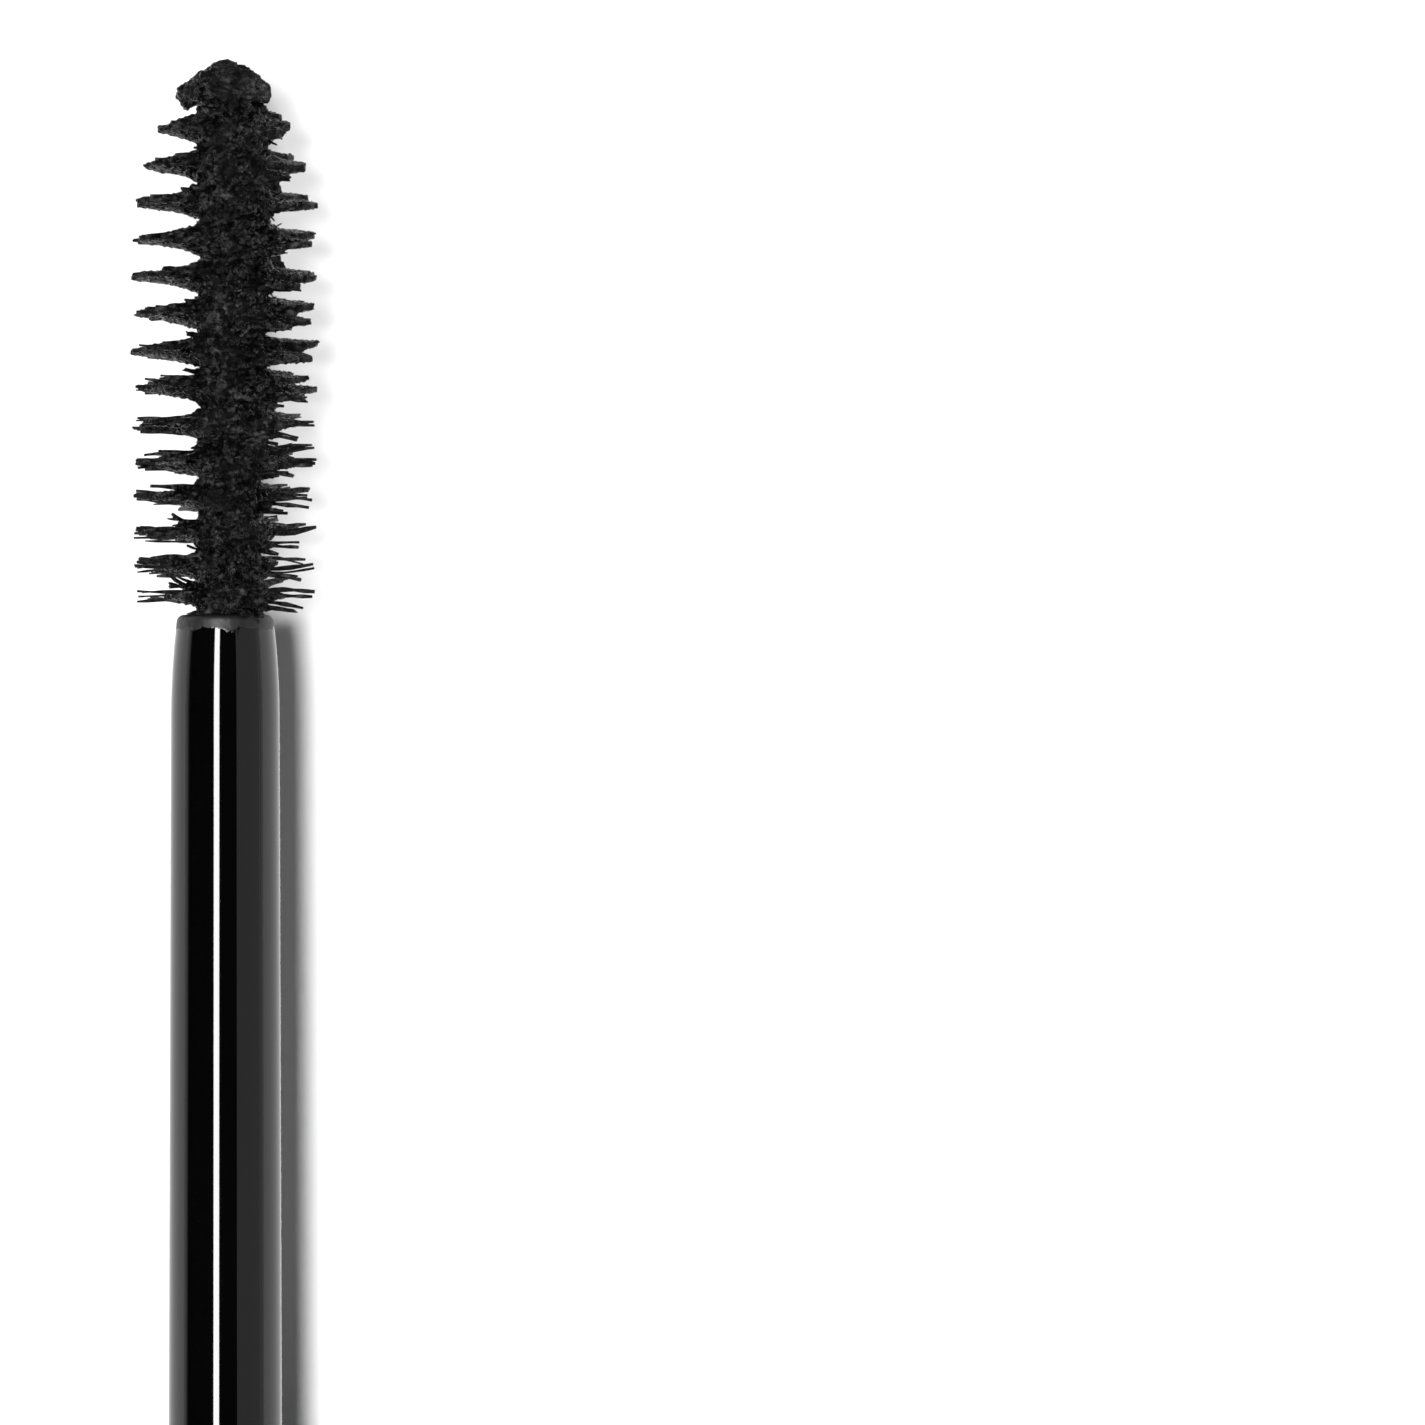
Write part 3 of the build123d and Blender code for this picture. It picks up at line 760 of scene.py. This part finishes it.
def lumps_of_paste(stations, azimuths, radii, sizes):
    """Small rounded lumps, each a little ball squashed at random, at points given round the axis."""
    draw = np.random.RandomState(29)
    ball = bmesh.new()
    bmesh.ops.create_icosphere(ball, subdivisions=1, radius=1.0)
    corners = np.array([vertex.co[:] for vertex in ball.verts])
    faces = np.array([[vertex.index for vertex in face.verts] for face in ball.faces])
    ball.free()
    centres = place(stations, azimuths, radii)
    stretch = draw.uniform(0.7, 1.35, (len(sizes), 1, 3))
    vertices = centres[:, None, :] + corners[None, :, :] * stretch * sizes[:, None, None]
    firsts = np.arange(len(sizes)) * len(corners)
    corners_of_faces = (faces[None] + firsts[:, None, None]).reshape(-1, 3)
    return vertices.reshape(-1, 3), [tuple(face) for face in corners_of_faces.tolist()]


def clot_lumps():
    """Lumps over the clot's outline, a little closer together towards its tip."""
    draw = np.random.RandomState(31)
    outline = np.array(CLOT[CLOT_STEM:])
    along = draw.uniform(0, 1, CLOT_LUMPS) ** 0.8 * (len(outline) - 1)
    stations = np.interp(along, range(len(outline)), outline[:, 0])
    radii = np.interp(along, range(len(outline)), outline[:, 1])
    sizes = draw.uniform(*CLOT_LUMP_R, CLOT_LUMPS)
    azimuths = draw.uniform(0, 2 * math.pi, CLOT_LUMPS)
    return lumps_of_paste(stations - 0.1 * sizes, azimuths, radii - 0.25 * sizes, sizes)


def core_lumps():
    """Lumps all over the core, set a little deeper where the bristles of the +Y side come out of it."""
    draw = np.random.RandomState(37)
    stations = draw.uniform(*CORE_LUMPS_BETWEEN, CORE_LUMPS)
    azimuths = draw.uniform(0, 2 * math.pi, CORE_LUMPS)
    sizes = draw.uniform(*CORE_LUMP_R, CORE_LUMPS)
    radii = core_radius(stations, azimuths) + 0.2 * sizes + draw.normal(0, 0.10, CORE_LUMPS)
    radii -= 0.12 * np.clip(np.cos(azimuths), 0, 1)
    return lumps_of_paste(stations, azimuths, radii, sizes)


def make_object(name, vertices, faces):
    mesh = bpy.data.meshes.new(name)
    mesh.from_pydata(vertices.tolist(), [], faces)
    obj = bpy.data.objects.new(name, mesh)
    bpy.context.scene.collection.objects.link(obj)
    return obj


def to_frame(obj):
    """From brush millimetres to the frame's metres."""
    obj.data.transform(Matrix.Translation((ROD_TIP, 0, AXIS_Z)) @ Matrix.Scale(MM, 4))


def apply_modifiers(obj):
    bpy.context.view_layer.update()
    solved = obj.evaluated_get(bpy.context.evaluated_depsgraph_get())
    mesh = bpy.data.meshes.new_from_object(solved)
    obj.modifiers.clear()
    obj.data = mesh


def unite(obj):
    """One skin round parts that run into each other."""
    remesh = obj.modifiers.new("union", "REMESH")
    remesh.mode = "VOXEL"
    remesh.voxel_size = VOXEL
    apply_modifiers(obj)


def roughen(mesh):
    """Moves the vertices out and in along their normals by three sizes of smooth noise."""
    points = np.zeros(len(mesh.vertices) * 3)
    normals = np.zeros(len(mesh.vertices) * 3)
    mesh.vertices.foreach_get("co", points)
    mesh.vertices.foreach_get("normal", normals)
    points, normals = points.reshape(-1, 3), normals.reshape(-1, 3)
    x, y, z = points.T
    lumps = 0.03 * wave(51, x * 5.1 + z * 4.0, y * 5.3 - z * 4.7)
    lumps = lumps + 0.035 * wave(52, x * 10.5 - z * 8.1, y * 11.9 + z * 9.0)
    lumps = lumps + 0.03 * wave(53, x * 19 + z * 14.0, y * 20 - z * 13.0)
    mesh.vertices.foreach_set("co", (points + normals * lumps[:, None]).ravel())
    mesh.update()


def thin(obj, most):
    """Brings a mesh down to at most this many triangles."""
    triangles = sum(len(p.vertices) - 2 for p in obj.data.polygons)
    if triangles > most:
        decimate = obj.modifiers.new("thin", "DECIMATE")
        decimate.ratio = most / triangles
        apply_modifiers(obj)


def shade_smooth(obj):
    for polygon in obj.data.polygons:
        polygon.use_smooth = True


def make_load(bundles):
    """The mascara on the brush."""
    clot = lathe(CLOT, lumps=0.05, seed=41)
    parts = [web(bundles, 0), web(bundles, 1), core(), core_lumps(), clot, clot_lumps()]
    obj = make_object("mascara_load", *joined(parts))
    unite(obj)
    roughen(obj.data)
    thin(obj, LOAD_TRIANGLES)
    obj.data.validate()
    shade_smooth(obj)
    to_frame(obj)
    return obj


def make_brush(paste):
    bundles = draw_bundles()
    bristles = tubes(*hair_paths(bundles))
    stubs = tubes(*stub_paths(STUB_COUNT), sides=5)
    hairs = make_object("bristles", *joined([bristles, stubs]))
    shade_smooth(hairs)
    to_frame(hairs)
    product = make_load(bundles)
    hairs.data.materials.append(paste)
    product.data.materials.append(paste)
    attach(hairs, "applicator")
    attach(product, "applicator")
    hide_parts(*ROWS)
    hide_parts("mascara_coat")
    return hairs, product


def make_rod(material):
    """The rod turned again to the CAD outline in finer steps, so that its long highlight runs true."""
    rings = {}
    for vertex in nodes["rod"].data.vertices:
        x, y, z = vertex.co
        station, radius = round((x - ROD_TIP) / MM, 3), math.hypot(y, z - AXIS_Z) / MM
        rings[station] = max(rings.get(station, 0), radius)
    outline = [ring for ring in sorted(rings.items()) if ring[1] > ROD_BORE_R]
    rod = make_object("rod_turned", *lathe(outline, turns=ROD_TURNS))
    shade_smooth(rod)
    rod.data.set_sharp_from_angle(angle=SHARP)
    to_frame(rod)
    rod.data.materials.append(material)
    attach(rod, "applicator")
    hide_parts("rod")


def dress(name, material):
    mesh = nodes[name].data
    mesh.materials.clear()
    mesh.materials.append(material)


make_camera()
paste = mascara_paste()
brush = make_brush(paste)
make_lights(brush)
make_sky()
make_floor()
finishes = make_finishes(paste)
for name, material in finishes.items():
    dress(name, material)
make_rod(finishes["rod"])

bpy.context.scene.view_settings.view_transform = "Standard"
bpy.context.view_layer.update()
